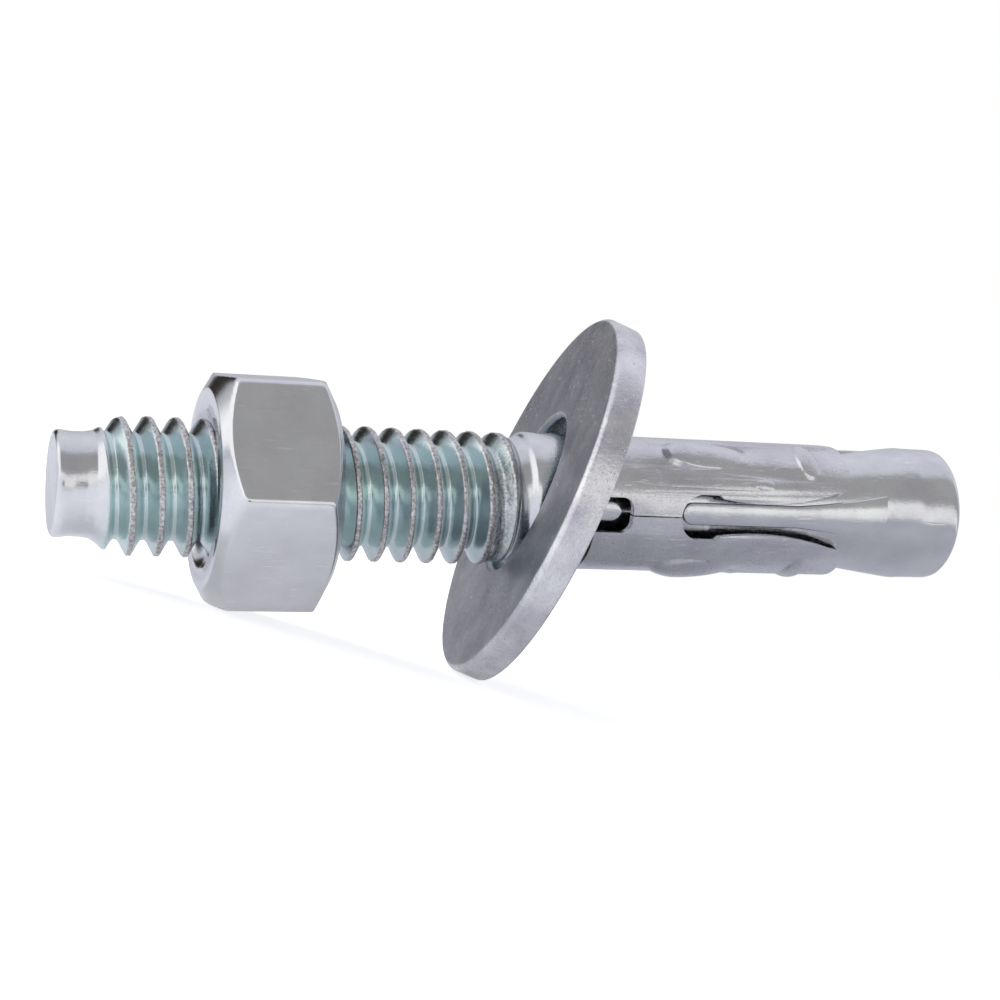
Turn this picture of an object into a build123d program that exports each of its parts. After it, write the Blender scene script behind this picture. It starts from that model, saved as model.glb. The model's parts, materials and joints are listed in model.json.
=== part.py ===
"""Wedge-type expansion anchor: a roll-threaded stud with its clip, washer and nut.

The stud lies as it comes to rest, on the washer's rim and on one flat of the nut.
Stations are distances along the stud from its plain tip. Clock angles go round the
stud, right-handed about the direction from the tip to the cone, and 0 is uppermost.
Sizes are in millimetres and degrees.
"""

import os
from math import asin, ceil, copysign, cos, degrees, radians, sin, sqrt, tan

from build123d import *

os.makedirs("parts", exist_ok=True)

# Rest pose of the stud: where its tip is, how far its axis rises to the cone, its roll
tip_x = -21.61
tip_y = 0.0
tip_height = 3.284
axis_rise = 14.6
axis_roll = 0.0

# Stud, a 1/4-20 by 1-3/4 in size
stud_length = 44.45
thread_pitch = 25.4 / 20
thread_major = 6.31
thread_minor = 4.72
thread_angle = 60.0
thread_start = 1.75
thread_lead_in = 1.4
thread_fade = 0.3
groove_start = 0.987
groove_runout = 0.4
groove_reach = 0.15
tip_diameter = 4.84
tip_edge = 0.2
waist_diameter = 4.7
waist_station = 0.9
tip_end_diameter = 4.8
neck_diameter = 5.8
neck_length = 0.95
collar_length = 2.95
collar_drop = 0.02
collar_edge = 0.25
collar_back_edge = 0.12
seat_gap = 0.4
cone_taper = 7.95
cone_proud = 0.06
end_length = 2.15
end_drop = 0.05
end_step = 0.15
end_edge = 0.25

# Expansion clip, round the stud's seat
leaves = 3
clip_diameter = 6.54
clip_wall = 0.42
clip_length = 13.55
clip_play = 0.15
clip_cone_gap = 0.065
slot_clock = 95.5
slot_start = 4.35
slot_head_length = 2.0
slot_head_width = 2.2
slot_shoulder_width = 1.85
slot_waist_station = 4.8
slot_waist_width = 1.55
slot_mouth_width = 2.8
notch_depth = 1.85
notch_width = 1.7
notch_corner = 0.55
seam_gap = 0.06
leaf_corner = 0.8

# Pressed bumps of each leaf: a long one, a crosswise oval and a shallow dot
bump_start = 3.65
bump_back = 1.4
bump_front = 2.9
bump_width = 2.0
bump_rise = 0.4
oval_inset = 2.2
oval_length = 1.2
oval_width = 2.6
oval_rise = 0.22
dot_inset = 4.8
dot_turn = 30.0
dot_length = 1.1
dot_rise = 0.1
dot_radius = 0.5

# Keys on the stud's seat, which stop the clip from turning
key_clock = 92.7
key_drop = 0.19
rib_gap = 0.2
rib_end_gap = 0.15
rib_straight = 6.15
rib_overrun = 2.1
rib_mouth_gap = 0.1
short_key_gap = 0.35
short_key_end_gap = 0.55
short_key_length = 2.6

# Washer, which leans on the collar
washer_diameter = 18.4
washer_thickness = 1.5
washer_setback = 1.35
washer_play = 0.262
washer_tilt = 22.5
washer_tilt_clock = 161.5
washer_up = 0.12
washer_edge = 0.2

# Nut
nut_sides = 6
nut_flats = 10.4
nut_height = 5.56
nut_start = 6.78
nut_gap = 0.07
nut_chamfer_share = 0.94
nut_chamfer = 30.0
nut_edge = 0.35
countersink_diameter = 7.3

# Radii and stations that follow from these, from the cone end back to the thread
crest_radius = thread_major / 2
root_radius = thread_minor / 2
neck_radius = neck_diameter / 2
clip_radius = clip_diameter / 2
clip_bore_radius = clip_radius - clip_wall
seat_radius = clip_bore_radius - seat_gap
key_radius = clip_radius - key_drop
collar_radius = clip_radius - collar_drop
cone_radius = clip_radius + cone_proud
end_radius = cone_radius - end_drop
cone_slope = tan(radians(cone_taper))
cone_end = stud_length - end_length
cone_start = cone_end - (cone_radius - seat_radius) / cone_slope
clip_end = cone_end - (cone_radius - clip_bore_radius + clip_cone_gap) / cone_slope
clip_start = clip_end - clip_length
collar_end = clip_start - clip_play
collar_start = collar_end - collar_length
thread_end = collar_start - neck_length
groove_end = thread_end - groove_runout

# Every piece is drawn with the stud along X, its tip at the origin and clock 0 up,
# and is then laid down in its rest pose
stud_axis = Axis.X
rise = radians(axis_rise)
roll = radians(axis_roll)
rest = Plane(
    origin=(tip_x, tip_y, tip_height),
    x_dir=(cos(rise), 0, sin(rise)),
    z_dir=(-sin(rise) * cos(roll), sin(roll), cos(rise) * cos(roll)),
)


def station(distance, clock=0.0):
    """Plane square to the stud at a distance from its tip, x toward a clock angle."""
    turn = radians(clock)
    return Plane(origin=(distance, 0, 0), x_dir=(0, -sin(turn), cos(turn)), z_dir=(1, 0, 0))


def section(distance=0.0, clock=0.0):
    """Plane through the stud's axis: x along the stud, y outward at a clock angle."""
    square = station(distance, clock)
    return Plane(origin=square.origin, x_dir=square.z_dir, z_dir=square.y_dir)


def across(distance, clock):
    """Plane square to the stud: x round the stud, y outward at a clock angle."""
    square = station(distance, clock)
    return Plane(origin=square.origin, x_dir=square.y_dir, z_dir=-square.z_dir)


def outward(clock):
    """Plane that faces outward from the tip's centre, with x along the stud."""
    square = station(0, clock)
    return Plane(origin=square.origin, x_dir=square.z_dir, z_dir=square.x_dir)


def leaf_clocks(first):
    """The same clock angle on each of the clip's leaves."""
    return [first + 360 * leaf / leaves for leaf in range(leaves)]


def ridge(plane, height, radius, reach, turn):
    """Half-round bar bent toward the axis: its outer line is an arc of the reach.

    The half circle stands at a height in the plane and is swung backward through the
    turn, or forward if that is negative.
    """
    base = height + max(radius - reach, 0)
    with BuildPart() as bar:
        with BuildSketch(plane):
            with Locations((0, height)):
                Circle(radius)
            with Locations((0, base)):
                Rectangle(
                    2 * radius, radius, align=(Align.CENTER, Align.MIN), mode=Mode.INTERSECT
                )
        centre = plane.origin + plane.y_dir * (height + radius - reach)
        revolve(axis=Axis(centre, plane.x_dir * copysign(1, turn)), revolution_arc=abs(turn))
    return bar.part


def arc_radius(half_chord, rise):
    """Radius of the arc that rises so far over half its chord."""
    return (half_chord**2 + rise**2) / (2 * rise)


# Anchor stud
groove_radius = crest_radius + groove_reach
mouth_half = (groove_radius - root_radius) * tan(radians(thread_angle / 2))


def groove_turn(start, length):
    """One turn, or less, of the groove between the thread's crests."""
    with BuildPart() as turn:
        with BuildLine() as path:
            Helix(thread_pitch, length, root_radius, center=(start, 0, 0), direction=(1, 0, 0))
        with BuildSketch(section(start)):
            with BuildLine():
                Polyline(
                    (0, root_radius),
                    (-mouth_half, groove_radius),
                    (mouth_half, groove_radius),
                    close=True,
                )
            make_face()
        sweep(path=path.line, is_frenet=True)
    return turn.part


turn_count = ceil((groove_end - groove_start) / thread_pitch)
turn_starts = [groove_start + thread_pitch * turn for turn in range(turn_count)]
groove = [groove_turn(s, min(thread_pitch, groove_end - s)) for s in turn_starts]

rib_half = slot_waist_width / 2 - rib_gap
rib_mouth_half = slot_mouth_width / 2 - rib_mouth_gap
rib_centre = clip_start + slot_start + rib_end_gap + rib_half
rib_flare = clip_start + slot_start + rib_end_gap + rib_straight
rib_end = clip_end + rib_overrun
short_key_width = notch_width - 2 * short_key_gap
short_key_centre = clip_start + notch_depth - short_key_end_gap - short_key_length / 2
with BuildPart() as keys:
    for clock in leaf_clocks(key_clock):
        with BuildSketch(outward(clock)):
            with BuildLine():
                Polyline(
                    (rib_centre, rib_half),
                    (rib_flare, rib_half),
                    (rib_end, rib_mouth_half),
                    (rib_end, -rib_mouth_half),
                    (rib_flare, -rib_half),
                    (rib_centre, -rib_half),
                    close=True,
                )
            make_face()
            with Locations((rib_centre, 0)):
                Circle(rib_half)
            with Locations((short_key_centre, 0)):
                SlotOverall(short_key_length, short_key_width)
        extrude(amount=collar_radius)
    with BuildSketch(station(0)):
        Circle(clip_diameter)
        Circle(key_radius, mode=Mode.SUBTRACT)
    extrude(amount=stud_length, mode=Mode.SUBTRACT)

near = 0.01
broken_edges = (
    (0, tip_edge),
    (collar_start, collar_edge),
    (collar_end, collar_back_edge),
    (stud_length, end_edge),
)
with BuildPart() as stud:
    with BuildSketch(section()):
        with BuildLine():
            Polyline(
                (0, 0),
                (0, tip_diameter / 2),
                (waist_station, waist_diameter / 2),
                (thread_start, tip_end_diameter / 2),
                (thread_start + thread_lead_in, crest_radius),
                (thread_end - thread_fade, crest_radius),
                (thread_end, neck_radius),
                (collar_start - collar_edge, neck_radius),
                (collar_start, collar_radius),
                (collar_end, collar_radius),
                (collar_end, seat_radius),
                (cone_start, seat_radius),
                (cone_end, cone_radius),
                (cone_end + end_step, end_radius),
                (stud_length, end_radius),
                (stud_length, 0),
                close=True,
            )
        make_face()
    revolve(axis=stud_axis)
    for distance, edge in broken_edges:
        rings = stud.edges().filter_by(GeomType.CIRCLE)
        chamfer(rings.filter_by_position(stud_axis, distance - near, distance + near), edge)
    for turn in groove:
        add(turn, mode=Mode.SUBTRACT)
    add(keys.part)

with BuildPart() as anchor_stud:
    add(rest * stud.part)
anchor_stud.part.label = "anchor_stud"
export_step(anchor_stud.part, "parts/anchor_stud.step")

# Expansion clip
head_half = slot_head_width / 2
head_turn = head_half * sqrt(0.5)
head_start = clip_start + slot_start
head_end = head_start + slot_head_length
shoulder_half = slot_shoulder_width / 2
waist_half = slot_waist_width / 2
slot_mouth_half = slot_mouth_width / 2
mouth_start = clip_end - leaf_corner
corner_sag = leaf_corner * (1 - sqrt(0.5))
notch_end = clip_start + notch_depth
edge_drop = clip_radius - sqrt(clip_radius**2 - (bump_width / 2) ** 2)
bump_depth = bump_rise + edge_drop
bump_radius = arc_radius(bump_width / 2, bump_depth)
bump_centre = clip_radius + bump_rise - bump_radius
bump_peak = clip_start + bump_start + bump_back
bump_sides = ((bump_back, 1), (bump_front, -1))
oval_drop = clip_radius - sqrt(clip_radius**2 - (oval_width / 2) ** 2)
oval_reach = arc_radius(oval_width / 2, oval_rise + oval_drop)
oval_radius = arc_radius(oval_length / 2, oval_rise)
dot_reach = arc_radius(dot_length / 2, dot_rise)
leaf_clock = slot_clock - 180 / leaves

bumps = []
dimples = []
for clock in leaf_clocks(leaf_clock):
    peak = across(bump_peak, clock)
    for side, way in bump_sides:
        reach = arc_radius(side, bump_rise)
        turn = way * degrees(2 * asin(side / reach))
        bumps.append(ridge(peak, bump_centre, bump_radius, reach, turn))
        dimples.append(
            ridge(peak, bump_centre, bump_radius - clip_wall, reach - clip_wall, turn)
        )
    oval = section(clip_end - oval_inset, clock)
    bumps.append(
        ridge(oval, clip_radius + oval_rise - oval_radius, oval_radius, oval_reach, 360)
    )
    dot = across(clip_end - dot_inset, clock + dot_turn)
    bumps.append(ridge(dot, clip_radius + dot_rise - dot_radius, dot_radius, dot_reach, 360))

with BuildPart() as clip:
    with BuildSketch(station(clip_start)):
        Circle(clip_radius)
    extrude(amount=clip_length)
    add(bumps)
    with BuildSketch(station(clip_start)):
        Circle(clip_bore_radius)
    extrude(amount=clip_length, mode=Mode.SUBTRACT)
    add(dimples, mode=Mode.SUBTRACT)
    for clock in leaf_clocks(slot_clock):
        with BuildSketch(outward(clock)):
            with BuildLine():
                ThreePointArc(
                    (head_start, 0),
                    (head_start + head_half - head_turn, head_turn),
                    (head_start + head_half, head_half),
                )
                Polyline(
                    (head_start + head_half, head_half),
                    (head_end, head_half),
                    (head_end + head_half - shoulder_half, shoulder_half),
                )
                Spline(
                    (head_end + head_half - shoulder_half, shoulder_half),
                    (head_start + slot_waist_station, waist_half),
                    (mouth_start, slot_mouth_half),
                )
                ThreePointArc(
                    (mouth_start, slot_mouth_half),
                    (clip_end - corner_sag, slot_mouth_half + corner_sag),
                    (clip_end, slot_mouth_half + leaf_corner),
                )
                Polyline(
                    (clip_end, slot_mouth_half + leaf_corner),
                    (stud_length, slot_mouth_half + leaf_corner),
                    (stud_length, 0),
                    (head_start, 0),
                )
            make_face()
            mirror(about=Plane.XZ)
            with Locations((notch_end - short_key_length, 0)):
                RectangleRounded(2 * short_key_length, notch_width, notch_corner)
        extrude(amount=clip_diameter, mode=Mode.SUBTRACT)
    # The sheet's two edges meet in a seam between one notch and its slot
    with BuildSketch(outward(slot_clock)):
        with Locations(((notch_end + head_start) / 2, 0)):
            Rectangle(head_start - notch_end + 2 * notch_corner, seam_gap)
    extrude(amount=clip_diameter, mode=Mode.SUBTRACT)

with BuildPart() as expansion_clip:
    add(rest * clip.part)
expansion_clip.part.label = "expansion_clip"
export_step(expansion_clip.part, "parts/expansion_clip.step")

# Washer
tilt = radians(washer_tilt)
leaned_collar = 2 * collar_radius + washer_play + washer_thickness * sin(tilt)
washer_hole = leaned_collar / cos(tilt)
square = station(collar_start + washer_setback)
toward = station(0, washer_tilt_clock).x_dir
washer_plane = Plane(
    origin=square.origin + square.x_dir * washer_up,
    z_dir=square.z_dir * cos(tilt) + toward * sin(tilt),
)
with BuildPart() as disc:
    with BuildSketch(washer_plane):
        Circle(washer_diameter / 2)
        Circle(washer_hole / 2, mode=Mode.SUBTRACT)
    extrude(amount=washer_thickness / 2, both=True)
    near_face = disc.faces().sort_by(Axis(washer_plane.origin, washer_plane.z_dir))[0]
    chamfer(near_face.edges(), washer_edge)

with BuildPart() as washer:
    add(rest * disc.part)
washer.part.label = "washer"
export_step(washer.part, "parts/washer.step")

# Nut
bore_radius = crest_radius + nut_gap
sink_radius = countersink_diameter / 2
chamfer_radius = nut_chamfer_share * nut_flats / 2
nut_end = nut_start + nut_height
half_side = 180 / nut_sides
corner_radius = nut_flats / 2 / cos(radians(half_side))
chamfer_run = (corner_radius - chamfer_radius) * tan(radians(nut_chamfer))
with BuildPart() as nut:
    with BuildSketch(station(nut_start)):
        RegularPolygon(nut_flats / 2, nut_sides, major_radius=False, rotation=half_side)
    extrude(amount=nut_height)
    fillet(nut.edges().filter_by(stud_axis), nut_edge)
    with BuildSketch(section()):
        with BuildLine():
            Polyline(
                (nut_start, sink_radius),
                (nut_start, chamfer_radius),
                (nut_start + chamfer_run, corner_radius),
                (nut_end - chamfer_run, corner_radius),
                (nut_end, chamfer_radius),
                (nut_end, sink_radius),
                (nut_end - sink_radius + bore_radius, bore_radius),
                (nut_start + sink_radius - bore_radius, bore_radius),
                close=True,
            )
        make_face()
    revolve(axis=stud_axis, mode=Mode.INTERSECT)

with BuildPart() as hex_nut:
    add(rest * nut.part)
hex_nut.part.label = "hex_nut"
export_step(hex_nut.part, "parts/hex_nut.step")
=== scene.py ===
"""Dresses the wedge anchor bolt: a rolled stud, its clip, washer and nut, and a stage.

Sizes of the object are in millimetres along the stud, from its plain tip. Clock
angles go round the stud from its upper side, right-handed from tip to cone.
"""

import json
from math import ceil, cos, pi, radians, sin, tan

import bpy
from mathutils import Matrix, Vector, noise


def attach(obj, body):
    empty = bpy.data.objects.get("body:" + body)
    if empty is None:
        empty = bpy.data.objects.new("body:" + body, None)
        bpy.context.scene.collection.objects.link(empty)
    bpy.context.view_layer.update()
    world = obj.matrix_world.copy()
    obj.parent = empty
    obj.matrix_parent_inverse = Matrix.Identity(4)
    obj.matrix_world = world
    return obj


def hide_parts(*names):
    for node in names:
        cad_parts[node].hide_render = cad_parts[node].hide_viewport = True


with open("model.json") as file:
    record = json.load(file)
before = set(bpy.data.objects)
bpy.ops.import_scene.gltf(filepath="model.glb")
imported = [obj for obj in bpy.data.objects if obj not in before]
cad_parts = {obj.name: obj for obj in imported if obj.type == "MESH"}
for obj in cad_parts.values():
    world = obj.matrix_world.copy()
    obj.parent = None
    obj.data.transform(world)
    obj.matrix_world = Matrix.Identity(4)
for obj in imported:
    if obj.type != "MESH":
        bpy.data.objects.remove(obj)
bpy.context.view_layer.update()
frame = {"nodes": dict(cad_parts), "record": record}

bl_info = {
    "name": "Wedge Anchor Bolt",
    "version": (1, 0, 0),
    "blender": (4, 5, 0),
    "location": "3D View > Sidebar > Anchor",
    "description": "Dresses a lying wedge anchor bolt and its stage",
    "category": "Add Mesh",
}

MM = 0.001
nodes = frame["nodes"]
mounts = {mount["name"]: mount for mount in frame["record"]["mounts"]}

# Sizes shared with the solids
STUD_LENGTH = 44.45
END_MIDDLE = 43.325
PITCH = 25.4 / 20
CREST_RADIUS = 3.155
ROOT_RADIUS = 2.43
GROOVE_START = 0.987
NECK_RADIUS = 2.92
COLLAR_RADIUS = 3.25
SEAT_RADIUS = 2.45
KEY_CLOCK = 92.7
LEAVES = 3
LEAF_CLOCK = 35.5
CLIP_RADIUS = 3.27
NUT_START = 6.78
NUT_END = 12.34
NUT_FLATS = 10.4
NUT_BORE = 3.225
NUT_SINK = 3.65

# The thread: where it fades in and runs out, and where its last root is partly filled
FLANK = radians(30)
LEAD_IN = (0.6, 1.6)
RUN_OUT = (19.85, 21.0)
FILLED_FROM = (19.9, 20.4)
FILLED_TO = (20.95, 20.6)

# The fold that rolling leaves along the middle of a crest, and the roughness of the filled root
FOLD_WIDTH = 0.06
FOLD_DEPTH = 0.03
FILL_ROUGHNESS = 0.03

# The long keys between the clip's leaves, with how they widen, and the short ones in its notches
KEY_START = 29.35
KEY_HALF = 0.575
KEY_FLARE = ((37.0, 0.72), (38.5, 0.93), (39.6, 1.12), (40.5, 1.3), (41.0, 1.4))
KEY_TOP = 3.1
KEY_DROP = 0.02
KEY_DEPTH = 0.9
KEY_EDGE = 0.12
SHORT_KEY_START = 23.55
SHORT_KEY_MIDDLE = 24.85
SHORT_KEY_HALF = 0.5
SHORT_KEY_TOP = 3.08

# Forms pressed into each leaf: station, half length, half width, how far they stand out
CLIP_RELIEFS = ((30.75, 2.1, 1.0, 2.8), (36.25, 0.55, 1.25, 2.0))

# Colours that the finishes mix in
CLOUD_SHADE = (0.62, 0.6, 0.68)
PIT_SHADE = (0.45, 0.44, 0.5)
SCRATCH_COLOUR = (0.88, 0.88, 0.9)
CREST_DARK = (0.2, 0.17, 0.16)
CREST_LIGHT = (0.78, 0.77, 0.77)
WASHER_BORE = (0.3, 0.36, 0.36)

# The stud's own directions, in the row frame
along = Vector(mounts["hole_end"]["axis"]).normalized()
sideways = along.cross(Vector((0, 0, 1))).normalized()
upward = sideways.cross(along).normalized()
tip = Vector(mounts["hole_end"]["pos_m"]) - along * END_MIDDLE * MM


def place(distance, radius, clock):
    """A point in the row frame from its station, radius and clock angle."""
    turn = radians(clock)
    outward = upward * cos(turn) + sideways * sin(turn)
    return tip + (along * distance + outward * radius) * MM


def ease(low, high, value):
    """Smooth step from 0 at low to 1 at high."""
    share = min(max((value - low) / (high - low), 0.0), 1.0)
    return share * share * (3 - 2 * share)


def through(stations, distance):
    """The radius at a distance along a list of (distance, radius) stations."""
    if distance <= stations[0][0]:
        return stations[0][1]
    for (s0, r0), (s1, r1) in zip(stations, stations[1:]):
        if distance <= s1:
            return r0 + (r1 - r0) * (distance - s0) / (s1 - s0)
    return stations[-1][1]


def soft_max(a, b, blend):
    """The larger of two radii, with the corner between them filled."""
    gap = max(blend - abs(a - b), 0.0)
    return max(a, b) + gap * gap / (4 * blend)


def soft_min(a, b, blend):
    """The smaller of two radii, with the corner between them rounded."""
    return -soft_max(-a, -b, blend)


# Sizes and colours that a user may change


class AnchorStudSettings(bpy.types.PropertyGroup):
    """Shape and finish of the stud."""

    columns: bpy.props.IntProperty(
        name="Columns", description="Points round the stud", default=144, min=24
    )
    crest_roughness: bpy.props.FloatProperty(
        name="Crest roughness",
        description="How far the rolled crests wander, in millimetres",
        default=0.024,
        min=0.0,
    )
    crest_flat: bpy.props.FloatProperty(
        name="Crest width", description="Flat of the crests, in millimetres", default=0.19, min=0.0
    )
    crest_blend: bpy.props.FloatProperty(
        name="Crest rounding", description="Rounding of the crests, in millimetres", default=0.05
    )
    root_blend: bpy.props.FloatProperty(
        name="Root rounding", description="Filling of the roots, in millimetres", default=0.12
    )
    plating: bpy.props.FloatVectorProperty(
        name="Plating",
        description="Colour of the zinc on the turned surfaces",
        subtype="COLOR",
        default=(0.75, 0.757, 0.775),
    )
    thread_tint: bpy.props.FloatVectorProperty(
        name="Thread tint",
        description="Colour of the passivated zinc in the thread",
        subtype="COLOR",
        default=(0.6, 0.72, 0.72),
    )


class AnchorFittingSettings(bpy.types.PropertyGroup):
    """Finish of the clip, washer and nut."""

    clip_plating: bpy.props.FloatVectorProperty(
        name="Clip", description="Colour of the clip", subtype="COLOR", default=(0.73, 0.73, 0.755)
    )
    washer_plating: bpy.props.FloatVectorProperty(
        name="Washer",
        description="Colour of the washer",
        subtype="COLOR",
        default=(0.84, 0.84, 0.86),
    )
    washer_face: bpy.props.FloatVectorProperty(
        name="Washer faces",
        description="Colour of the washer's duller faces",
        subtype="COLOR",
        default=(0.5, 0.5, 0.52),
    )
    nut_plating: bpy.props.FloatVectorProperty(
        name="Nut", description="Colour of the nut", subtype="COLOR", default=(0.75, 0.755, 0.775)
    )
    nut_face: bpy.props.FloatProperty(
        name="Nut end face",
        description="Diameter of the nut's end faces as a share of its width over flats",
        default=0.88,
        min=0.75,
        max=1.0,
    )
    nut_corner: bpy.props.FloatProperty(
        name="Nut corners", description="Rounding of the nut's corners", default=0.035, min=0.001
    )
    edge: bpy.props.FloatProperty(
        name="Edge",
        description="Rounding of the clip's and the washer's edges",
        subtype="DISTANCE",
        default=0.00007,
        min=0.0,
    )


class AnchorStageSettings(bpy.types.PropertyGroup):
    """Camera, lamps and floor."""

    swing: bpy.props.FloatProperty(
        name="Swing",
        description="How far the camera stands round toward the tip",
        subtype="ANGLE",
        default=radians(19.0),
    )
    roll: bpy.props.FloatProperty(
        name="Roll",
        description="Turn of the camera about its own line of sight",
        subtype="ANGLE",
        default=radians(2.004),
    )
    reach: bpy.props.FloatProperty(
        name="Reach",
        description="Distance from the camera to the stud's middle",
        subtype="DISTANCE",
        default=0.09521,
    )
    lens: bpy.props.FloatProperty(
        name="Lens", description="Focal length in millimetres", default=71.68, min=1.0
    )
    floor: bpy.props.FloatVectorProperty(
        name="Floor", description="Colour of the floor", subtype="COLOR", default=(0.65, 0.66, 0.7)
    )


# Shader building


def link(tree, start, end):
    """Joins an output socket to an input socket."""
    tree.links.new(start, end)


def add_node(tree, kind, **values):
    """A new node, with attributes by name and sockets by their own names."""
    made = tree.nodes.new(kind)
    for name, value in values.items():
        if hasattr(made, name):
            setattr(made, name, value)
        else:
            made.inputs[name].default_value = value
    return made


def new_group(name, inputs, outputs):
    """An empty shader node group with its sockets, and its input and output nodes."""
    group = bpy.data.node_groups.new(name, "ShaderNodeTree")
    for socket, kind, value in inputs:
        made = group.interface.new_socket(socket, in_out="INPUT", socket_type=kind)
        made.default_value = value
    for socket, kind in outputs:
        group.interface.new_socket(socket, in_out="OUTPUT", socket_type=kind)
    return group, group.nodes.new("NodeGroupInput"), group.nodes.new("NodeGroupOutput")


def math_node(tree, operation, first, second=None):
    """A Math node fed by sockets or numbers."""
    made = tree.nodes.new("ShaderNodeMath")
    made.operation = operation
    for slot, value in enumerate((first, second)):
        if value is None:
            continue
        if isinstance(value, (int, float)):
            made.inputs[slot].default_value = value
        else:
            link(tree, value, made.inputs[slot])
    return made.outputs[0]


def mix_colour(tree, share, first, second, blend="MIX"):
    """A colour Mix node fed by sockets or plain colours."""
    made = tree.nodes.new("ShaderNodeMix")
    made.data_type = "RGBA"
    made.blend_type = blend
    for slot, value in ((0, share), (6, first), (7, second)):
        if hasattr(value, "is_linked"):
            link(tree, value, made.inputs[slot])
        elif slot == 0:
            made.inputs[slot].default_value = value
        else:
            made.inputs[slot].default_value = (*value[:3], 1.0)
    return made.outputs[2]


def ramp(tree, value, low, high, start=0.0, end=1.0):
    """Maps a value between two limits onto start to end, held at both ends."""
    made = add_node(tree, "ShaderNodeMapRange")
    link(tree, value, made.inputs["Value"])
    made.inputs["From Min"].default_value = low
    made.inputs["From Max"].default_value = high
    made.inputs["To Min"].default_value = start
    made.inputs["To Max"].default_value = end
    return made.outputs["Result"]


def noise_value(tree, vector, scale, detail=3.0, roughness=0.55):
    """Fractal noise over the given coordinates."""
    made = add_node(tree, "ShaderNodeTexNoise", Detail=detail, Roughness=roughness)
    link(tree, vector, made.inputs["Vector"])
    made.inputs["Scale"].default_value = scale
    return made.outputs["Fac"]


def build_stud_coordinates():
    """Group: coordinates along, across and up the stud, in millimetres."""
    group, _, end = new_group("Stud coordinates", (), (("Vector", "NodeSocketVector"),))
    spot = add_node(group, "ShaderNodeTexCoord")
    parts = add_node(group, "ShaderNodeCombineXYZ")
    for slot, direction in enumerate((along, sideways, upward)):
        dot = add_node(group, "ShaderNodeVectorMath", operation="DOT_PRODUCT")
        link(group, spot.outputs["Object"], dot.inputs[0])
        dot.inputs[1].default_value = direction
        shifted = math_node(group, "SUBTRACT", dot.outputs["Value"], tip.dot(direction))
        link(group, math_node(group, "MULTIPLY", shifted, 1000.0), parts.inputs[slot])
    link(group, parts.outputs[0], end.inputs[0])
    return group


def build_zinc():
    """Group: bright zinc plating, faintly clouded, with fine pits and a soft orange peel."""
    group, start, end = new_group(
        "Zinc plating",
        (
            ("Vector", "NodeSocketVector", (0, 0, 0)),
            ("Plating", "NodeSocketColor", (0.75, 0.76, 0.8, 1)),
            ("Cloud", "NodeSocketFloat", 0.1),
            ("Gloss", "NodeSocketFloat", 0.3),
            ("Pits", "NodeSocketFloat", 0.2),
        ),
        (
            ("Color", "NodeSocketColor"),
            ("Roughness", "NodeSocketFloat"),
            ("Height", "NodeSocketFloat"),
        ),
    )
    spot = start.outputs["Vector"]
    broad = noise_value(group, spot, 0.55, 4.0)
    fine = noise_value(group, spot, 6.0, 4.0, 0.65)
    grain = noise_value(group, spot, 28.0, 2.0)
    dulled = mix_colour(group, 1.0, start.outputs["Plating"], CLOUD_SHADE, "MULTIPLY")
    cloud = math_node(group, "MULTIPLY", ramp(group, broad, 0.35, 0.68), start.outputs["Cloud"])
    clouded = mix_colour(group, cloud, start.outputs["Plating"], dulled)
    speck = ramp(group, fine, 0.6, 0.78)
    specked = math_node(group, "MULTIPLY", speck, start.outputs["Pits"])
    pitted = mix_colour(group, 1.0, clouded, PIT_SHADE, "MULTIPLY")
    link(group, mix_colour(group, specked, clouded, pitted), end.inputs["Color"])
    swing = ramp(group, fine, 0.3, 0.7, 0.8, 1.25)
    rough = math_node(group, "MULTIPLY", start.outputs["Gloss"], swing)
    rough = math_node(group, "ADD", rough, math_node(group, "MULTIPLY", specked, 0.2))
    link(group, rough, end.inputs["Roughness"])
    height = math_node(group, "MULTIPLY", broad, 0.5)
    height = math_node(group, "ADD", height, math_node(group, "MULTIPLY", fine, 0.22))
    height = math_node(group, "ADD", height, math_node(group, "MULTIPLY", grain, 0.05))
    height = math_node(group, "SUBTRACT", height, math_node(group, "MULTIPLY", specked, 0.3))
    link(group, height, end.inputs["Height"])
    return group


def build_scratches():
    """Group: short fine scratches, as a mask, drawn out along one direction."""
    group, start, end = new_group(
        "Handling scratches",
        (
            ("Vector", "NodeSocketVector", (0, 0, 0)),
            ("Stretch", "NodeSocketVector", (1, 12, 12)),
            ("Amount", "NodeSocketFloat", 0.5),
        ),
        (("Mask", "NodeSocketFloat"),),
    )
    spread = add_node(group, "ShaderNodeVectorMath", operation="MULTIPLY")
    link(group, start.outputs["Vector"], spread.inputs[0])
    link(group, start.outputs["Stretch"], spread.inputs[1])
    streak = noise_value(group, spread.outputs[0], 1.0, 2.0, 0.5)
    patch = noise_value(group, start.outputs["Vector"], 0.8, 2.0)
    thin = ramp(group, streak, 0.6, 0.7)
    mask = math_node(group, "MULTIPLY", thin, ramp(group, patch, 0.42, 0.6))
    link(group, math_node(group, "MULTIPLY", mask, start.outputs["Amount"]), end.inputs["Mask"])
    return group


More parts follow.
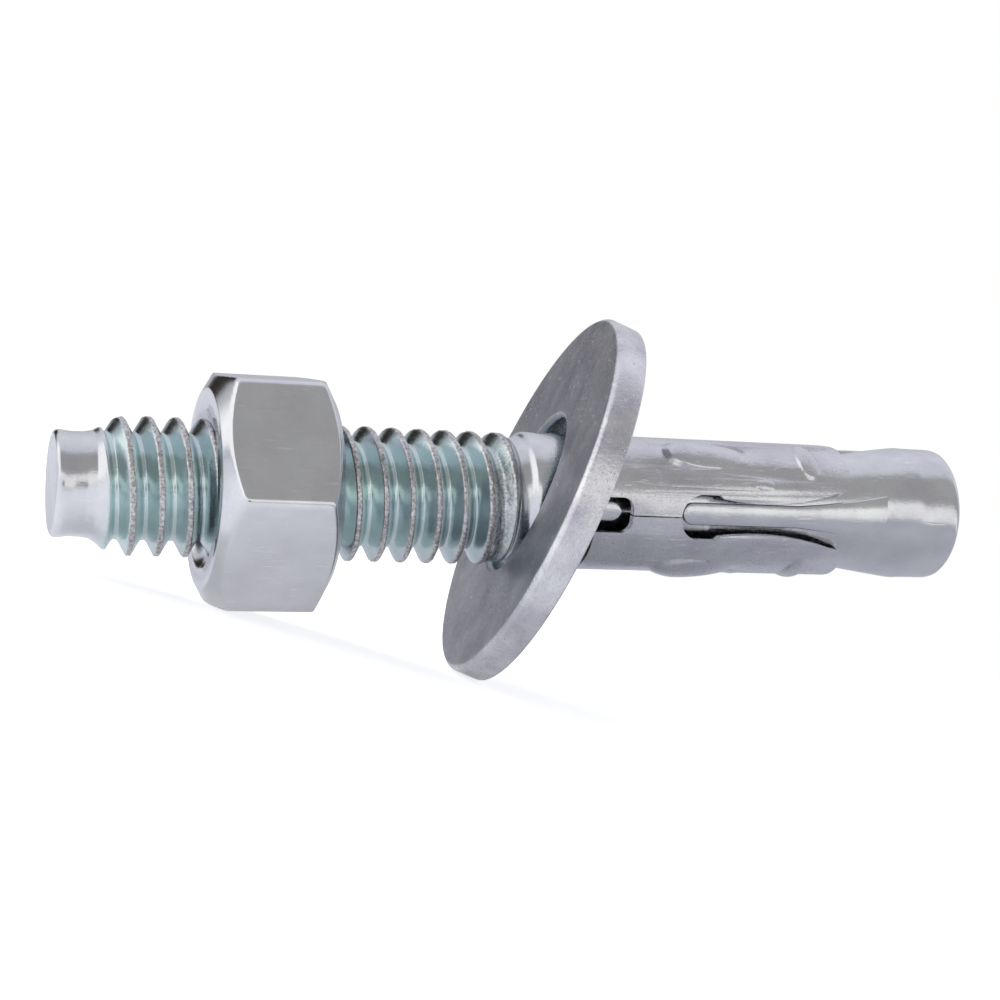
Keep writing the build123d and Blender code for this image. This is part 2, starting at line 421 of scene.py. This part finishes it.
def build_relief():
    """Group: the crisp rim of a form pressed into each leaf of the clip, as a height.

    The form is a squarish oval, dished inside its rim.
    """
    group, start, end = new_group(
        "Pressed relief",
        (
            ("Vector", "NodeSocketVector", (0, 0, 0)),
            ("Station", "NodeSocketFloat", 30.7),
            ("Half length", "NodeSocketFloat", 2.1),
            ("Half width", "NodeSocketFloat", 1.0),
        ),
        (("Height", "NodeSocketFloat"),),
    )
    parts = add_node(group, "ShaderNodeSeparateXYZ")
    link(group, start.outputs["Vector"], parts.inputs[0])
    clock = math_node(group, "ARCTAN2", parts.outputs["Y"], parts.outputs["Z"])
    turned = math_node(group, "SUBTRACT", clock, radians(LEAF_CLOCK))
    turned = math_node(group, "PINGPONG", turned, pi / LEAVES)
    across = math_node(group, "MULTIPLY", turned, CLIP_RADIUS)
    across = math_node(group, "DIVIDE", across, start.outputs["Half width"])
    passed = math_node(group, "SUBTRACT", parts.outputs["X"], start.outputs["Station"])
    passed = math_node(group, "DIVIDE", passed, start.outputs["Half length"])
    squareness = 2.4
    outward = math_node(
        group,
        "ADD",
        math_node(group, "POWER", math_node(group, "ABSOLUTE", across), squareness),
        math_node(group, "POWER", math_node(group, "ABSOLUTE", passed), squareness),
    )
    rim = ramp(group, outward, 1.3, 0.8)
    dish = ramp(group, outward, 0.7, 0.1, 0.0, 0.6)
    link(group, math_node(group, "SUBTRACT", rim, dish), end.inputs["Height"])
    return group


def grouped(tree, name):
    """A group node of the named group."""
    made = tree.nodes.new("ShaderNodeGroup")
    made.node_tree = bpy.data.node_groups[name]
    return made


def plated_material(
    name, plating, cloud, gloss, pits, scratch, stretch, bump, tint=None, flat=None, pressed=()
):
    """Zinc-plated steel, with scratches.

    A tint goes where the mesh marks the thread. Flat is an axis, a centre, the colour of
    the faces that are square to the axis, and the radius and colour of the bore. Pressed
    lists the clip's reliefs: station, half length, half width and how far they stand out.
    """
    material = bpy.data.materials.new(name)
    material.use_nodes = True
    tree = material.node_tree
    tree.nodes.clear()
    out = add_node(tree, "ShaderNodeOutputMaterial")
    shader = add_node(tree, "ShaderNodeBsdfPrincipled")
    shader.inputs["Metallic"].default_value = 1.0
    spot = grouped(tree, "Stud coordinates").outputs["Vector"]
    zinc = grouped(tree, "Zinc plating")
    link(tree, spot, zinc.inputs["Vector"])
    zinc.inputs["Cloud"].default_value = cloud
    zinc.inputs["Gloss"].default_value = gloss
    zinc.inputs["Pits"].default_value = pits
    marks = grouped(tree, "Handling scratches")
    link(tree, spot, marks.inputs["Vector"])
    marks.inputs["Stretch"].default_value = stretch
    marks.inputs["Amount"].default_value = scratch
    extra = None
    if flat:
        axis, centre, face_colour, bore_radius, bore_colour = flat
        side = add_node(tree, "ShaderNodeNewGeometry")
        facing = add_node(tree, "ShaderNodeVectorMath", operation="DOT_PRODUCT")
        link(tree, side.outputs["True Normal"], facing.inputs[0])
        facing.inputs[1].default_value = axis
        square = math_node(tree, "ABSOLUTE", facing.outputs["Value"])
        extra = ramp(tree, square, 0.75, 0.95)
        where = add_node(tree, "ShaderNodeTexCoord")
        away = add_node(tree, "ShaderNodeVectorMath", operation="DISTANCE")
        link(tree, where.outputs["Object"], away.inputs[0])
        away.inputs[1].default_value = centre
        bore = ramp(tree, away.outputs["Value"], bore_radius * 1.15, bore_radius * 1.3)
        sides = mix_colour(tree, bore, bore_colour, plating)
        link(tree, mix_colour(tree, extra, sides, face_colour), zinc.inputs["Plating"])
    elif tint is None:
        zinc.inputs["Plating"].default_value = (*plating, 1.0)
    else:
        zone = add_node(tree, "ShaderNodeAttribute", attribute_name="zone")
        parts = add_node(tree, "ShaderNodeSeparateColor")
        link(tree, zone.outputs["Color"], parts.inputs[0])
        tinted = mix_colour(tree, parts.outputs[0], plating, tint)
        extra = parts.outputs[1]
        grit = ramp(tree, noise_value(tree, spot, 7.0, 3.0, 0.7), 0.4, 0.6)
        worn = mix_colour(tree, grit, CREST_DARK, CREST_LIGHT)
        crest = math_node(tree, "MULTIPLY", extra, 0.7)
        link(tree, mix_colour(tree, crest, tinted, worn), zinc.inputs["Plating"])
    marked = mix_colour(tree, marks.outputs["Mask"], zinc.outputs["Color"], SCRATCH_COLOUR)
    link(tree, marked, shader.inputs["Base Color"])
    rough = math_node(tree, "MULTIPLY", marks.outputs["Mask"], 0.12)
    rough = math_node(tree, "ADD", zinc.outputs["Roughness"], rough)
    if extra is not None:
        rough = math_node(tree, "ADD", rough, math_node(tree, "MULTIPLY", extra, 0.14))
    link(tree, rough, shader.inputs["Roughness"])
    relief = math_node(tree, "MULTIPLY", marks.outputs["Mask"], 0.35)
    relief = math_node(tree, "SUBTRACT", zinc.outputs["Height"], relief)
    for station, half_length, half_width, amount in pressed:
        form = grouped(tree, "Pressed relief")
        link(tree, spot, form.inputs["Vector"])
        form.inputs["Station"].default_value = station
        form.inputs["Half length"].default_value = half_length
        form.inputs["Half width"].default_value = half_width
        raised = math_node(tree, "MULTIPLY", form.outputs["Height"], amount)
        relief = math_node(tree, "ADD", relief, raised)
    bumped = add_node(tree, "ShaderNodeBump", Strength=bump, Distance=0.0004)
    link(tree, relief, bumped.inputs["Height"])
    link(tree, bumped.outputs[0], shader.inputs["Normal"])
    link(tree, shader.outputs[0], out.inputs[0])
    return material


# Meshes


def mesh_object(name, points, faces, smooth=True):
    """A linked object with a mesh of those points and faces."""
    mesh = bpy.data.meshes.new(name)
    mesh.from_pydata(points, [], faces)
    mesh.validate()
    for face in mesh.polygons:
        face.use_smooth = smooth
    made = bpy.data.objects.new(name, mesh)
    bpy.context.scene.collection.objects.link(made)
    return made


def dress(node, material, edge):
    """Gives a carried-over solid its material, welded and with its edges rounded."""
    solid = nodes[node]
    solid.data.materials.clear()
    solid.data.materials.append(material)
    weld = solid.modifiers.new("Weld", "WELD")
    weld.merge_threshold = 0.000002
    bevel = solid.modifiers.new("Edges", "BEVEL")
    bevel.width = edge
    bevel.segments = 3
    bevel.limit_method = "ANGLE"
    bevel.angle_limit = radians(34)
    bevel.use_clamp_overlap = True
    bevel.harden_normals = False
    solid.modifiers.new("Shading", "WEIGHTED_NORMAL").weight = 80
    for face in solid.data.polygons:
        face.use_smooth = True
    return solid


TIP_RINGS = (
    (0.0, 0.0),
    (0.0, 1.2),
    (0.0, 2.05),
    (0.01, 2.2),
    (0.05, 2.31),
    (0.12, 2.38),
    (0.22, 2.415),
    (0.4, 2.4),
    (0.65, 2.365),
    (0.9, 2.35),
    (1.1, 2.355),
)
CONE_RINGS = (
    (21.45, 2.93),
    (21.58, 2.95),
    (21.7, 3.0),
    (21.8, 3.08),
    (21.88, 3.17),
    (21.97, 3.225),
    (22.1, COLLAR_RADIUS),
    (22.6, COLLAR_RADIUS),
    (23.4, COLLAR_RADIUS),
    (24.3, COLLAR_RADIUS),
    (24.6, 3.24),
    (24.68, 3.2),
    (24.7, 3.1),
    (24.7, SEAT_RADIUS),
    (27.0, SEAT_RADIUS),
    (30.0, SEAT_RADIUS),
    (33.0, SEAT_RADIUS),
    (35.8, SEAT_RADIUS),
    (36.2, 2.478),
    (37.5, 2.66),
    (39.0, 2.87),
    (40.5, 3.078),
    (41.6, 3.23),
    (42.05, 3.288),
    (42.25, 3.307),
    (42.42, 3.305),
    (42.6, 3.292),
    (43.2, 3.285),
    (43.9, 3.285),
    (44.15, 3.275),
    (44.3, 3.235),
    (44.4, 3.15),
    (44.44, 3.03),
    (STUD_LENGTH, 2.85),
    (STUD_LENGTH, 1.5),
    (STUD_LENGTH, 0.0),
)
BLANK_LINE = (
    (0.9, 2.35),
    (1.35, 2.36),
    (1.75, 2.44),
    (2.05, 2.62),
    (2.3, 2.86),
    (2.7, 3.02),
    (3.15, CREST_RADIUS),
    (20.85, CREST_RADIUS),
    (21.0, 3.06),
    (21.15, 2.95),
    (21.3, NECK_RADIUS),
    (21.45, 2.93),
)
PROFILE_ROWS = (
    0.0, 0.035, 0.075, 0.13, 0.22, 0.31, 0.39, 0.44, 0.48, 0.525, 0.575,
    0.635, 0.695, 0.745, 0.79, 0.83, 0.88, 0.96, 1.05, 1.14, 1.195, 1.235,
)


def thread_radius(distance, clock, settings):
    """Radius of the threaded part there, with how far it is in the groove and on a crest."""
    turns = (distance - GROOVE_START) / PITCH - clock / 360
    middle = round(turns)
    run = abs(turns - middle) * PITCH
    groove_at = GROOVE_START + (middle + clock / 360) * PITCH
    flank = CREST_RADIUS - (PITCH / 2 - settings.crest_flat / 2 - run) / tan(FLANK)
    cut = soft_max(ROOT_RADIUS, flank, settings.root_blend)
    depth = 1 - ease(*RUN_OUT, groove_at)
    depth *= ease(*LEAD_IN, groove_at)
    cut = CREST_RADIUS - (CREST_RADIUS - cut) * depth
    blank = through(BLANK_LINE, distance)
    radius = soft_min(blank, cut, settings.crest_blend)
    crest = ease(CREST_RADIUS - 0.12, CREST_RADIUS - 0.03, radius)
    spot = place(distance, 3.0, clock) * 1000
    wander = noise.fractal(spot * 5.0, 0.6, 2.1, 3) * settings.crest_roughness
    fold = FOLD_DEPTH * ease(FOLD_WIDTH, 0.0, abs(run - PITCH / 2)) * (0.4 + noise.noise(spot * 0.9))
    filled = ease(*FILLED_FROM, groove_at) * ease(*FILLED_TO, distance)
    radius += (wander - max(fold, 0.0)) * crest
    radius += filled * FILL_ROUGHNESS * noise.fractal(spot * 3.2, 0.6, 2.0, 3)
    groove = ease(CREST_RADIUS - 0.04, CREST_RADIUS - 0.14, radius)
    groove *= ease(1.9, 2.5, distance) * ease(21.2, 20.6, distance)
    crest *= ease(2.2, 2.9, distance) * ease(21.1, 20.8, distance)
    return radius, groove, max(crest, 0.8 * filled * groove)


def key_shell(points, faces, zones, clock, rows, top):
    """Adds a raised key that runs along the stud, closed all round."""
    first = len(points)
    for distance, half in rows:
        half = max(half, 0.02)
        bend = min(KEY_EDGE, half * 0.9)
        lip = top(distance)
        outline = (
            (-half, lip - KEY_DEPTH),
            (-half, lip - bend),
            (-half + 0.3 * bend, lip - 0.3 * bend),
            (-half + bend, lip),
            (-0.33 * (half - bend), lip),
            (0.33 * (half - bend), lip),
            (half - bend, lip),
            (half - 0.3 * bend, lip - 0.3 * bend),
            (half, lip - bend),
            (half, lip - KEY_DEPTH),
        )
        for across, radius in outline:
            points.append(place(distance, radius, clock + across / lip * 180 / pi))
            zones.append((0.0, 0.0))
    width = 10
    for row in range(len(rows) - 1):
        for column in range(width):
            after = (column + 1) % width
            low = first + row * width
            faces.append((low + column, low + after, low + width + after, low + width + column))
    faces.append(tuple(first + column for column in reversed(range(width))))
    last = first + (len(rows) - 1) * width
    faces.append(tuple(last + column for column in range(width)))


def rounded_start(distance, half, steps=8):
    """Rows of a key's end that is rounded in plan."""
    rows = []
    for step in range(steps + 1):
        turn = pi / 2 * step / steps
        rows.append((distance + half * (1 - cos(turn)), half * sin(turn)))
    return rows


def stud_mesh(settings):
    """Points, faces and thread marks of the whole stud."""
    columns = settings.columns
    points, faces, zones = [], [], []

    def ring(distance, radius):
        start = len(points)
        for column in range(columns):
            points.append(place(distance, radius, 360 * column / columns))
            zones.append((0.0, 0.0))
        return start

    def band(low, high):
        for column in range(columns):
            after = (column + 1) % columns
            faces.append((low + column, low + after, high + after, high + column))

    def cap(ring_start, distance, inward):
        centre = len(points)
        points.append(place(distance, 0.0, 0.0))
        zones.append((0.0, 0.0))
        for column in range(columns):
            after = (column + 1) % columns
            if inward:
                faces.append((centre, ring_start + after, ring_start + column))
            else:
                faces.append((centre, ring_start + column, ring_start + after))

    previous = None
    for distance, radius in TIP_RINGS[1:]:
        current = ring(distance, radius)
        if previous is None:
            cap(current, TIP_RINGS[0][0], True)
        else:
            band(previous, current)
        previous = current

    # The thread's rows follow the helix, held between a first and a last plain ring
    low, high = TIP_RINGS[-1][0] + 0.1, CONE_RINGS[0][0] - 0.1
    per_turn = len(PROFILE_ROWS)
    first_turn = -1
    last_turn = ceil((high - GROOVE_START) / PITCH)
    rows = [
        GROOVE_START + turn * PITCH + offset
        for turn in range(first_turn, last_turn + 1)
        for offset in PROFILE_ROWS
    ]
    index = {}
    lattice = []
    for base in rows:
        line = []
        for column in range(columns):
            clock = 360 * column / columns
            distance = min(max(base + PITCH * clock / 360, low), high)
            held = (column, round(distance, 6))
            if held not in index:
                radius, groove, crest = thread_radius(distance, clock, settings)
                index[held] = len(points)
                points.append(place(distance, radius, clock))
                zones.append((groove, crest))
            line.append(index[held])
        lattice.append(line)
    for number in range(len(rows) - 1):
        for column in range(columns):
            if column + 1 < columns:
                after, above = lattice[number][column + 1], lattice[number + 1][column + 1]
            else:
                if number + 1 + per_turn >= len(rows):
                    continue
                after, above = lattice[number + per_turn][0], lattice[number + 1 + per_turn][0]
            corners = [lattice[number][column], after, above, lattice[number + 1][column]]
            unique = list(dict.fromkeys(corners))
            if len(unique) > 2:
                faces.append(tuple(unique))
    for column in range(columns):
        after = (column + 1) % columns
        low_here, low_after = index[(column, round(low, 6))], index[(after, round(low, 6))]
        faces.append((previous + column, previous + after, low_after, low_here))
    previous = None
    for distance, radius in CONE_RINGS[:-1]:
        current = ring(distance, radius)
        if previous is None:
            for column in range(columns):
                after = (column + 1) % columns
                high_here = index[(column, round(high, 6))]
                high_after = index[(after, round(high, 6))]
                faces.append((high_here, high_after, current + after, current + column))
        else:
            band(previous, current)
        previous = current
    cap(previous, CONE_RINGS[-1][0], False)

    # Keys that stop the clip from turning: a long one in each slot, a short one in each notch
    for leaf in range(LEAVES):
        clock = KEY_CLOCK + 360 * leaf / LEAVES
        rows = rounded_start(KEY_START, KEY_HALF)
        rows += [(distance, KEY_HALF) for distance in (31.0, 33.5, 35.5)]
        rows += KEY_FLARE
        key_shell(
            points, faces, zones, clock, rows, lambda s: KEY_TOP - KEY_DROP * ease(39.0, 40.4, s)
        )
        rows = rounded_start(SHORT_KEY_START, SHORT_KEY_HALF)
        rows += [(2 * SHORT_KEY_MIDDLE - s, half) for s, half in reversed(rows)]
        key_shell(points, faces, zones, clock, rows, lambda s: SHORT_KEY_TOP)
    return points, faces, zones


# The nut's rows of points, as depths below its end, and how many points go round it
NUT_DEPTHS = (0.0, 0.02, 0.05, 0.09, 0.14, 0.2, 0.27, 0.35, 0.44, 0.54, 0.65, 0.77, 0.9, 1.1, 1.5, 2.1)
NUT_COLUMNS = 240
NUT_BLEND = 0.1


def nut_mesh(settings):
    """Points and faces of the nut: a hexagon cut by a cone at each end, and its bore."""
    columns = NUT_COLUMNS
    face_radius = settings.nut_face * NUT_FLATS / 2

    def outer(depth, clock):
        turn = (clock + 30) % 60 - 30
        nearest, second = cos(radians(turn)), cos(radians(60 - abs(turn)))
        side = NUT_FLATS / 2 / soft_max(nearest, second, settings.nut_corner)
        cone = face_radius + depth / tan(radians(30))
        return soft_min(side, cone, NUT_BLEND)

    sink = NUT_SINK - NUT_BORE
    rows = [
        (NUT_START + 2 * sink, lambda clock: NUT_BORE),
        (NUT_START + sink, lambda clock: NUT_BORE),
        (NUT_START + 0.05, lambda clock: NUT_SINK - 0.04),
        (NUT_START, lambda clock: NUT_SINK),
        (NUT_START, lambda clock: face_radius - 0.25),
        (NUT_START, lambda clock: face_radius - 0.08),
    ]
    for depth in NUT_DEPTHS:
        rows.append((NUT_START + max(depth, 0.012), lambda clock, depth=depth: outer(depth, clock)))
    ends = NUT_START + NUT_END
    rows += [(ends - distance, radius) for distance, radius in reversed(rows)]
    points = [
        place(distance, radius(360 * column / columns), 360 * column / columns)
        for distance, radius in rows
        for column in range(columns)
    ]
    faces = []
    for row in range(len(rows)):
        low, high = row * columns, (row + 1) % len(rows) * columns
        for column in range(columns):
            after = (column + 1) % columns
            faces.append((low + column, low + after, high + after, high + column))
    return points, faces


class ANCHOR_OT_finishes(bpy.types.Operator):
    """Builds the shared finishes that the pieces' materials use"""

    bl_idname = "anchor.finishes"
    bl_label = "Finishes"

    def execute(self, context):
        build_stud_coordinates()
        build_zinc()
        build_scratches()
        build_relief()
        return {"FINISHED"}


class ANCHOR_OT_stud(bpy.types.Operator):
    """Makes the stud with its rolled thread, keys and cone"""

    bl_idname = "anchor.stud"
    bl_label = "Stud"

    def execute(self, context):
        settings = context.scene.anchor_stud
        points, faces, zones = stud_mesh(settings)
        stud = mesh_object("rolled_stud", points, faces)
        marks = stud.data.color_attributes.new("zone", "FLOAT_COLOR", "POINT")
        for spot, (groove, crest) in zip(marks.data, zones):
            spot.color = (groove, crest, 0.0, 1.0)
        stud.data.materials.append(
            plated_material(
                "stud_zinc",
                tuple(settings.plating),
                cloud=0.35,
                gloss=0.16,
                pits=0.3,
                scratch=0.5,
                stretch=(0.7, 9.0, 9.0),
                bump=0.09,
                tint=tuple(settings.thread_tint),
            )
        )
        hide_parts("anchor_stud")
        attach(stud, "stud")
        return {"FINISHED"}


class ANCHOR_OT_clip(bpy.types.Operator):
    """Finishes the expansion clip and its pressed forms"""

    bl_idname = "anchor.clip"
    bl_label = "Expansion clip"

    def execute(self, context):
        settings = context.scene.anchor_fittings
        material = plated_material(
            "clip_zinc",
            tuple(settings.clip_plating),
            cloud=0.4,
            gloss=0.24,
            pits=0.45,
            scratch=0.7,
            stretch=(1.2, 9.0, 9.0),
            bump=0.16,
            pressed=CLIP_RELIEFS,
        )
        dress("expansion_clip", material, settings.edge)
        return {"FINISHED"}


class ANCHOR_OT_washer(bpy.types.Operator):
    """Finishes the washer"""

    bl_idname = "anchor.washer"
    bl_label = "Washer"

    def execute(self, context):
        settings = context.scene.anchor_fittings
        faces = nodes["washer"].data.polygons
        axis = max(faces, key=lambda face: face.area).normal
        corners = [vertex.co for vertex in nodes["washer"].data.vertices]
        centre = sum(corners, Vector()) / len(corners)
        bore = min((corner - centre).length for corner in corners)
        material = plated_material(
            "washer_zinc",
            tuple(settings.washer_plating),
            cloud=0.8,
            gloss=0.24,
            pits=0.7,
            scratch=0.5,
            stretch=(9.0, 3.0, 3.0),
            bump=0.28,
            flat=(axis, centre, tuple(settings.washer_face), bore, WASHER_BORE),
        )
        dress("washer", material, settings.edge * 1.2)
        return {"FINISHED"}


class ANCHOR_OT_nut(bpy.types.Operator):
    """Makes the chamfered hex nut"""

    bl_idname = "anchor.nut"
    bl_label = "Hex nut"

    def execute(self, context):
        settings = context.scene.anchor_fittings
        material = plated_material(
            "nut_zinc",
            tuple(settings.nut_plating),
            cloud=0.25,
            gloss=0.15,
            pits=0.15,
            scratch=0.5,
            stretch=(1.0, 9.0, 9.0),
            bump=0.04,
        )
        points, faces = nut_mesh(settings)
        nut = mesh_object("chamfered_nut", points, faces)
        nut.data.materials.append(material)
        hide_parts("hex_nut")
        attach(nut, "nut")
        return {"FINISHED"}


def area_lamp(name, spot, aim, width, height, power):
    """A rectangular lamp at a spot in the row frame, aimed at another."""
    lamp = bpy.data.lights.new(name, "AREA")
    lamp.shape = "RECTANGLE"
    lamp.size, lamp.size_y = width, height
    lamp.energy = power
    made = bpy.data.objects.new(name, lamp)
    made.location = spot
    made.rotation_mode = "QUATERNION"
    made.rotation_quaternion = (Vector(aim) - Vector(spot)).to_track_quat("-Z", "Y")
    bpy.context.scene.collection.objects.link(made)
    return made


def seen_directly(tree):
    """The light's path, and a value of 1 for rays from the camera or through glass."""
    path = add_node(tree, "ShaderNodeLightPath")
    both = math_node(
        tree, "MAXIMUM", path.outputs["Is Camera Ray"], path.outputs["Is Transmission Ray"]
    )
    return path, both


def floor_material(colour):
    """Pale matte floor that shows white to the camera away from the object's shadow.

    Mirrored in the metal, it shows a painted glow in front of the tip and far behind the stud: a
    painted reflection that stands in for light on the floor there.
    """
    material = bpy.data.materials.new("floor_paint")
    material.use_nodes = True
    tree = material.node_tree
    shader = tree.nodes["Principled BSDF"]
    shader.inputs["Base Color"].default_value = (*colour, 1.0)
    shader.inputs["Roughness"].default_value = 0.9
    shader.inputs["Specular IOR Level"].default_value = 0.1
    path, direct = seen_directly(tree)
    shader.inputs["Emission Color"].default_value = (1.0, 1.0, 1.0, 1.0)
    seen = math_node(tree, "MULTIPLY", direct, 0.7)
    spot = add_node(tree, "ShaderNodeTexCoord")
    parts = add_node(tree, "ShaderNodeSeparateXYZ")
    link(tree, spot.outputs["Object"], parts.inputs[0])
    # Painted reflection: a glow that only mirrored rays see, in front of the tip and far behind the
    # stud, brightening the metal where it mirrors the floor
    painted_glow_by_tip = math_node(
        tree,
        "MULTIPLY",
        ramp(tree, parts.outputs["X"], -0.003, 0.005, 0.34, 0.0),
        ramp(tree, parts.outputs["Y"], 0.0, 0.008, 1.0, 0.0),
    )
    painted_reflection_glow = math_node(tree, "ADD", painted_glow_by_tip, ramp(tree, parts.outputs["Y"], 0.06, 0.12, 0.0, 0.3))
    painted_reflection = math_node(tree, "MULTIPLY", path.outputs["Is Glossy Ray"], painted_reflection_glow)
    link(tree, math_node(tree, "ADD", seen, painted_reflection), shader.inputs["Emission Strength"])
    return material


ROOM = (
    (-30, (0.58, 0.59, 0.63)),
    (-14, (1.0, 1.0, 1.0)),
    (24, (1.12, 1.12, 1.1)),
    (29, (0.44, 0.44, 0.44)),
    (73, (0.43, 0.43, 0.43)),
    (81, (0.76, 0.77, 0.84)),
    (120, (0.84, 0.85, 0.93)),
    (160, (0.63, 0.64, 0.69)),
    (180, (0.5, 0.51, 0.55)),
)
LEFT_WALL = (1.3, 1.3, 1.3)

# Dark things in the room: where they are seen, their half width and soft edge in degrees
DARK_SPOTS = (
    ((-0.35, 0.91, 0.24), 11, 17, (0.03, 0.025, 0.02)),
    ((0.02, -1.0, 0.05), 4, 10, (0.1, 0.09, 0.08)),
)


def build_world():
    """Soft studio room: bright front and left walls, a grey ceiling edge over the front
    one, a pale ceiling behind, and two dark spots."""
    world = bpy.data.worlds.new("studio")
    bpy.context.scene.world = world
    world.use_nodes = True
    tree = world.node_tree
    tree.nodes.clear()
    out = add_node(tree, "ShaderNodeOutputWorld")
    spot = add_node(tree, "ShaderNodeTexCoord")
    parts = add_node(tree, "ShaderNodeSeparateXYZ")
    link(tree, spot.outputs["Generated"], parts.inputs[0])
    front = math_node(tree, "MULTIPLY", parts.outputs["Y"], -1.0)
    around_x = math_node(tree, "ARCTAN2", parts.outputs["Z"], front)
    shade = add_node(tree, "ShaderNodeValToRGB")
    link(tree, ramp(tree, around_x, -pi, pi), shade.inputs[0])
    bar = shade.color_ramp
    while len(bar.elements) < len(ROOM):
        bar.elements.new(0.5)
    for element, (angle, colour) in zip(bar.elements, ROOM):
        element.position = 0.5 + angle / 360
        element.color = (*colour, 1.0)
    left = ramp(tree, parts.outputs["X"], -0.68, -0.78)
    shaded = mix_colour(tree, left, shade.outputs[0], LEFT_WALL)
    for direction, inner, outer, colour in DARK_SPOTS:
        aside = add_node(tree, "ShaderNodeVectorMath", operation="DOT_PRODUCT")
        link(tree, spot.outputs["Generated"], aside.inputs[0])
        aside.inputs[1].default_value = Vector(direction).normalized()
        dark = ramp(tree, aside.outputs["Value"], cos(radians(outer)), cos(radians(inner)))
        shaded = mix_colour(tree, dark, shaded, colour)
    _, direct = seen_directly(tree)
    around = add_node(tree, "ShaderNodeBackground", Strength=0.95)
    link(tree, shaded, around.inputs["Color"])
    white = add_node(tree, "ShaderNodeBackground", Strength=1.0)
    white.inputs["Color"].default_value = (1.0, 1.0, 1.0, 1.0)
    chosen = add_node(tree, "ShaderNodeMixShader")
    link(tree, direct, chosen.inputs[0])
    link(tree, around.outputs[0], chosen.inputs[1])
    link(tree, white.outputs[0], chosen.inputs[2])
    link(tree, chosen.outputs[0], out.inputs[0])


# Half the floor's side in metres, and where the camera stands and aims
FLOOR_HALF = 0.6
VIEW_LEAN = radians(85)
AIM_ALONG = 21.108
AIM_BELOW = 0.058


class ANCHOR_OT_stage(bpy.types.Operator):
    """Sets the floor, the lamps, the surroundings and the camera"""

    bl_idname = "anchor.stage"
    bl_label = "Stage"

    def execute(self, context):
        settings = context.scene.anchor_stage
        scene = context.scene
        scene.view_settings.view_transform = "Standard"
        half = FLOOR_HALF
        corners = [(-half, -half, 0), (half, -half, 0), (half, half, 0), (-half, half, 0)]
        floor = mesh_object("floor", corners, [(0, 1, 2, 3)], smooth=False)
        floor.data.materials.append(floor_material(tuple(settings.floor)))
        build_world()
        lamp = area_lamp(
            "side_lamp", (-0.075, 0.05, 0.06), (0, 0, 0.008), width=0.05, height=0.04, power=0.05
        )
        lamp.visible_glossy = False

        # The camera stands off the stud's viewed side, about level with it
        away = -(sideways * sin(VIEW_LEAN) + upward * cos(VIEW_LEAN))
        risen = along.cross(away).normalized()
        if risen.z < 0:
            risen = -risen
        sight = along * sin(settings.swing) + away * cos(settings.swing)
        right = along * cos(settings.swing) - away * sin(settings.swing)
        turned_right = right * cos(settings.roll) + risen * sin(settings.roll)
        turned_up = risen * cos(settings.roll) - right * sin(settings.roll)
        target = tip + (along * AIM_ALONG - risen * AIM_BELOW) * MM
        spot = target - sight * settings.reach
        camera = bpy.data.cameras.new("camera")
        camera.lens = settings.lens
        camera.sensor_width = 36.0
        camera.clip_start = 0.005
        camera.clip_end = 5.0
        made = bpy.data.objects.new("camera", camera)
        made.matrix_world = Matrix(
            (
                (turned_right.x, turned_up.x, -sight.x, spot.x),
                (turned_right.y, turned_up.y, -sight.y, spot.y),
                (turned_right.z, turned_up.z, -sight.z, spot.z),
                (0, 0, 0, 1),
            )
        )
        scene.collection.objects.link(made)
        scene.camera = made
        return {"FINISHED"}


class ANCHOR_PT_panel(bpy.types.Panel):
    """Lists the anchor's pieces and their settings"""

    bl_idname = "ANCHOR_PT_panel"
    bl_label = "Wedge anchor bolt"
    bl_space_type = "VIEW_3D"
    bl_region_type = "UI"
    bl_category = "Anchor"

    def draw(self, context):
        layout = self.layout
        for operator in OPERATORS:
            layout.operator(operator.bl_idname)
        for group in (
            context.scene.anchor_stud,
            context.scene.anchor_fittings,
            context.scene.anchor_stage,
        ):
            box = layout.box()
            for name in group.bl_rna.properties.keys():
                if name not in {"rna_type", "name"}:
                    box.prop(group, name)


OPERATORS = (
    ANCHOR_OT_finishes,
    ANCHOR_OT_stud,
    ANCHOR_OT_clip,
    ANCHOR_OT_washer,
    ANCHOR_OT_nut,
    ANCHOR_OT_stage,
)
CLASSES = (AnchorStudSettings, AnchorFittingSettings, AnchorStageSettings, *OPERATORS, ANCHOR_PT_panel)


def register():
    """Registers the classes and hangs the settings on the scene."""
    for made in CLASSES:
        bpy.utils.register_class(made)
    bpy.types.Scene.anchor_stud = bpy.props.PointerProperty(type=AnchorStudSettings)
    bpy.types.Scene.anchor_fittings = bpy.props.PointerProperty(type=AnchorFittingSettings)
    bpy.types.Scene.anchor_stage = bpy.props.PointerProperty(type=AnchorStageSettings)


def unregister():
    """Takes the settings and classes away again."""
    del bpy.types.Scene.anchor_stage
    del bpy.types.Scene.anchor_fittings
    del bpy.types.Scene.anchor_stud
    for made in reversed(CLASSES):
        bpy.utils.unregister_class(made)


def main():
    """Builds every piece and the stage."""
    register()
    for name in ("finishes", "stud", "clip", "washer", "nut", "stage"):
        getattr(bpy.ops.anchor, name)()


if __name__ == "__main__":
    main()
